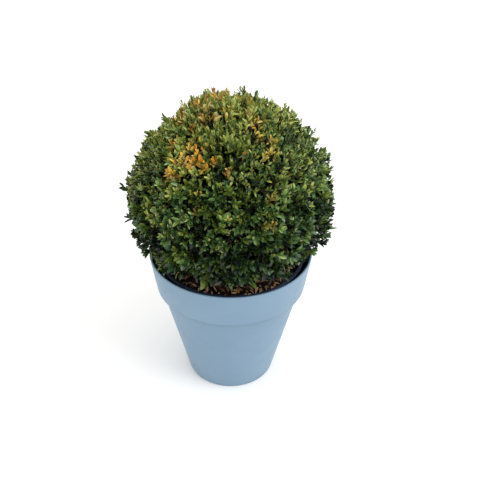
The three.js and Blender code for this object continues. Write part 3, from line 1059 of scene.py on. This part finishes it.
def build_shoot_stems(shoot_sets):
    """The thin stems of the shoots: brown, then green, and pale where they are cut."""
    parts = []
    brown_triangles, cut_triangles = 6, 3
    for shoots in shoot_sets:
        lines = curved_lines(shoots["base"], shoots["bend"], shoots["end"], len(STEM_RADII))
        radii = np.tile(STEM_RADII, (len(lines), 1))
        points, triangles, each = tubes(lines, radii, 3)
        tint = np.tile(np.where(np.arange(each) < brown_triangles, 0, 1), (len(lines), 1))
        tint[shoots["clipped"], -cut_triangles:] = 2
        parts.append((points, triangles, tint.ravel()))
    brown, green, cut = srgb(84, 82, 54), srgb(110, 118, 58), srgb(200, 184, 140)
    wood_piece("shoot_stems", parts, {"twig_brown": brown, "twig_green": green, "twig_cut": cut})


def build_leaves(name, leaves, replaced, leaf_rows=LEAF_ROWS):
    """One piece of leaves, which stands for CAD masses."""
    points, triangles, tints = leaf_mesh(leaves, leaf_rows)
    piece = mesh_piece(name, points, triangles, LEAF_MATERIALS, tints)
    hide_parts(*replaced)
    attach(piece, "root")


def build_crown(ends, rng):
    """The clipped ball.  Returns what its wood is made from."""
    reach = crown_reach()
    growth, clipped, bases = grow_crown(ends, reach, rng)
    shoots = gather(growth, clipped, rng)
    lift = unit(shoots["end"] - MIDDLE)[:, 2]
    length = LEAF_LENGTH * np.interp(lift, [-0.6, 0.0, 0.5, 1], [1.25, 1.1, 0.9, 0.86])
    length *= 1 - FRESH_CUT_SHORTENING * in_patches(unit(shoots["end"] - MIDDLE), FRESH_CUTS)
    length = length * rng.normal(1, 0.1, len(length)).clip(0.75, 1.3)
    leaves = leaves_on(shoots, rng, length, 0.05)
    leaves = clip_leaves(leaves, shoots["clipped"], reach, rng)
    outward = shoots["end"] - MIDDLE
    distance = np.linalg.norm(outward, axis=1)
    sunk = reach(outward / distance[:, None]) - distance
    leaves = deal_tints(leaves, shoots, sunk - np.median(sunk), rng)
    turn = np.degrees(np.arctan2(leaves["base"][:, 1], leaves["base"][:, 0])) + 180
    quarters = np.minimum((turn / 90).astype(int), 3)
    for k, side in enumerate(("front_left", "front_right", "back_right", "back_left")):
        build_leaves(f"clipped_leaves_{side}", keep(leaves, quarters == k), ["crown_ball"])
    inner = inner_shoots(bases, rng)
    old = leaves_on(inner, rng, np.full(len(inner["base"]), LEAF_LENGTH * 1.1), 0.3)
    # painted shade: the inner leaves get the near-black tint and the darkest greens
    old["tint"] = tint_numbers(("shaded", "shaded", "cool_deep", "warm_deep"), len(old["owner"]), rng)
    build_leaves("inner_leaves", old, ["crown_ball"], INNER_LEAF_ROWS)
    return growth, shoots, inner, bare_twigs(reach, rng)


def build_low_shoots(ends, rng):
    """The loose shoots under the ball.  Returns what their wood is made from."""
    growth = grow_low_shoots(ends, rng)
    shoots = gather(growth, np.zeros(LOW_SHOOTS_PER_MASS, bool), rng)
    length = LEAF_LENGTH * 1.15 * rng.normal(1, 0.1, len(shoots["base"])).clip(0.75, 1.3)
    leaves = leaves_on(shoots, rng, length, 0.06)
    leaves = deal_tints(leaves, shoots, np.zeros(len(length)), rng)
    build_leaves("loose_leaves", leaves, LOW_SHOOTS)
    return growth, shoots


# ==== litter on the soil ====
def build_litter(height, rng):
    """Dry leaves that have dropped from the bush on to the soil."""
    count = LITTER_LEAVES
    low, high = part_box("potting_soil")
    middle, soil_radius = (low.x + high.x) / 2, (high.x - low.x) / 2
    distance = soil_radius * np.sqrt(rng.uniform(0.12, 0.87, count))
    turn = rng.uniform(0, 2 * math.pi, count)
    out = np.column_stack([np.cos(turn), np.sin(turn), np.zeros(count)])
    base = out * distance[:, None] + [middle, 0, 0]
    base[:, 2] = height(base) + rng.uniform(0.5, 4.5, count) * MM
    heading = rng.uniform(0, 2 * math.pi, count)
    way = unit(np.column_stack([np.cos(heading), np.sin(heading), rng.normal(0, 0.3, count)]))
    # Leaves that would reach the inner pot's wall point inwards instead.
    at_wall = distance + LEAF_LENGTH * (way * out).sum(-1) > soil_radius - 3 * MM
    way[at_wall] *= [-1, -1, 1]
    face = unit(np.column_stack([rng.normal(0, 0.35, (count, 2)), np.ones(count)]))
    face = square_to(face, way)
    names = rng.choice(list(FALLEN), count, p=LITTER_SHARES)
    leaves = {
        "base": base,
        "way": way,
        "face": face,
        "across": np.cross(way, face),
        "length": LEAF_LENGTH * rng.uniform(0.25, 0.95, count),
        "broad": rng.uniform(0.4, 1.1, count),
        "fold": rng.uniform(0.2, 1.4, count),
        "bend": rng.normal(0.02, 0.22, count),
        "kept": np.ones(count),
        "tint": np.array([TINT_NAMES.index(name) for name in names]),
    }
    points, triangles, tints = leaf_mesh(leaves)
    piece = mesh_piece("fallen_leaves", points, triangles, LEAF_MATERIALS, tints)
    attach(piece, "root")


# ==== stage ====
def build_stage():
    """A plain white floor."""
    bpy.ops.mesh.primitive_plane_add(size=80)
    floor = bpy.context.object
    floor.name = "floor"
    made, _, _ = material("floor_white", (0.94, 0.94, 0.94), 0.7, 0.2)
    floor.data.materials.append(made)


def build_lights():
    """A bright sky that is brightest overhead, and a soft lamp from the front right."""
    world = bpy.data.worlds.new("studio")
    bpy.context.scene.world = world
    world.use_nodes = True
    tree = world.node_tree
    tree.nodes["Background"].inputs["Color"].default_value = (1, 0.99, 0.965, 1)
    place = add_node(tree, "TexCoord")
    parts = add_node(tree, "SeparateXYZ")
    glow = add_node(tree, "MapRange", {"To Min": SKY_AT_HORIZON, "To Max": SKY_OVERHEAD})
    tree.links.new(place.outputs["Generated"], parts.inputs["Vector"])
    tree.links.new(parts.outputs["Z"], glow.inputs["Value"])
    tree.links.new(glow.outputs["Result"], tree.nodes["Background"].inputs["Strength"])
    data = bpy.data.lights.new("key", "AREA")
    data.size = 1.2
    data.energy = 26
    data.color = (0.98, 0.99, 1.0)
    light = bpy.data.objects.new("key", data)
    light.location = (1.3, -0.9, 2.2)
    light.rotation_euler = (Vector((0, 0, 0.3)) - light.location).to_track_quat("-Z", "Y").to_euler()
    bpy.context.scene.collection.objects.link(light)


def build_camera():
    """Looks down on the plant from the front, as a person standing over it would."""
    data = bpy.data.cameras.new("camera")
    data.lens = CAMERA_LENS
    data.sensor_width = SENSOR_WIDTH
    data.shift_x = CAMERA_SHIFT
    data.clip_end = 60
    camera = bpy.data.objects.new("camera", data)
    camera.location = CAMERA_PLACE
    camera.rotation_euler = (math.radians(90 - CAMERA_DOWN), 0, 0)
    bpy.context.scene.collection.objects.link(camera)
    bpy.context.scene.camera = camera
    bpy.context.scene.view_settings.view_transform = "Standard"


# ==== the whole scene ====
build_camera()
build_stage()
build_lights()

BARK = bark()
LEAF_MATERIALS = leaf_materials()

build_planter()
build_grower_pot()
surface = soil_height(np.random.default_rng(SEED + 1))
build_soil(surface)
limb_ends = build_limbs(np.random.default_rng(SEED + 2))
crown_growth, *crown_shoots = build_crown(limb_ends, np.random.default_rng(SEED + 3))
low_growth, low_shoots = build_low_shoots(limb_ends, np.random.default_rng(SEED + 4))
build_branches([crown_growth, low_growth])
build_shoot_stems([*crown_shoots, low_shoots])
build_litter(surface, np.random.default_rng(SEED + 5))
